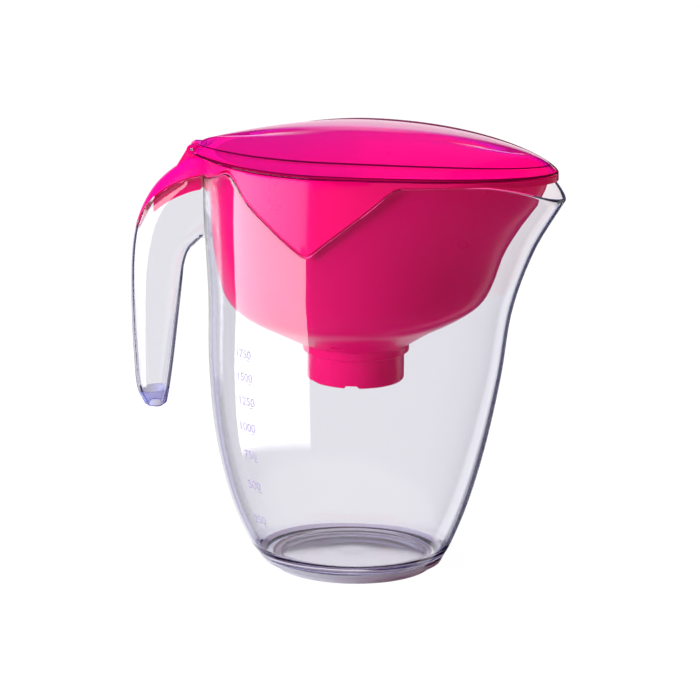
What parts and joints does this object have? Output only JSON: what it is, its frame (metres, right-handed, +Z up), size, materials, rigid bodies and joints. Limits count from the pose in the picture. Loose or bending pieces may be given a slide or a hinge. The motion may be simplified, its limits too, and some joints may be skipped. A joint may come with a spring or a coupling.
{
  "type": "water filter pitcher",
  "caption": "Clear leaf-shaped water jug with a hollow handle, a coloured funnel with a drop-in filter cartridge hanging in its mouth, and a tinted dome lid hinged over the handle.",
  "frame": {"origin": "centre of the foot ring's underside", "axes": "+X towards the spout, with the handle at -X, +Y across the pitcher, +Z up"},
  "size_m": [0.2509, 0.1532, 0.2538],
  "materials": {
    "clear_jug": "clear, polished",
    "pink_funnel": "opaque, glossy",
    "tinted_lid": "clear, tinted, polished",
    "pin_steel": "ground",
    "cartridge_white": "moulded",
    "screen_mesh": "woven mesh",
    "carbon": "granules",
    "felt": "felt",
    "resin": "beads",
    "seal": "soft"
  },
  "bodies": {
    "jug": {"jug_body": "clear_jug"},
    "filter_funnel": {"funnel": "pink_funnel"},
    "flip_lid": {"lid": "tinted_lid", "hinge_pin": "pin_steel"},
    "cartridge": {"cartridge_cup": "cartridge_white", "cartridge_cap": "cartridge_white", "top_screen": "screen_mesh", "carbon_bed": "carbon", "felt_disc": "felt", "resin_bed": "resin", "bottom_screen": "screen_mesh", "seal_ring": "seal"}
  },
  "joints": [
    {"name": "funnel_lift", "type": "slide", "parent": "jug", "child": "filter_funnel", "axis": [0, 0, 1], "range_m": [0, 0.16]},
    {"name": "lid_flip", "type": "hinge", "parent": "filter_funnel", "child": "flip_lid", "pos_m": [-0.0955, 0, 0.2388], "axis": [0, -1, 0], "range_deg": [0, 105]},
    {"name": "cartridge_pull", "type": "slide", "parent": "filter_funnel", "child": "cartridge", "axis": [0, 0, 1], "range_m": [0, 0.058]}
  ]
}
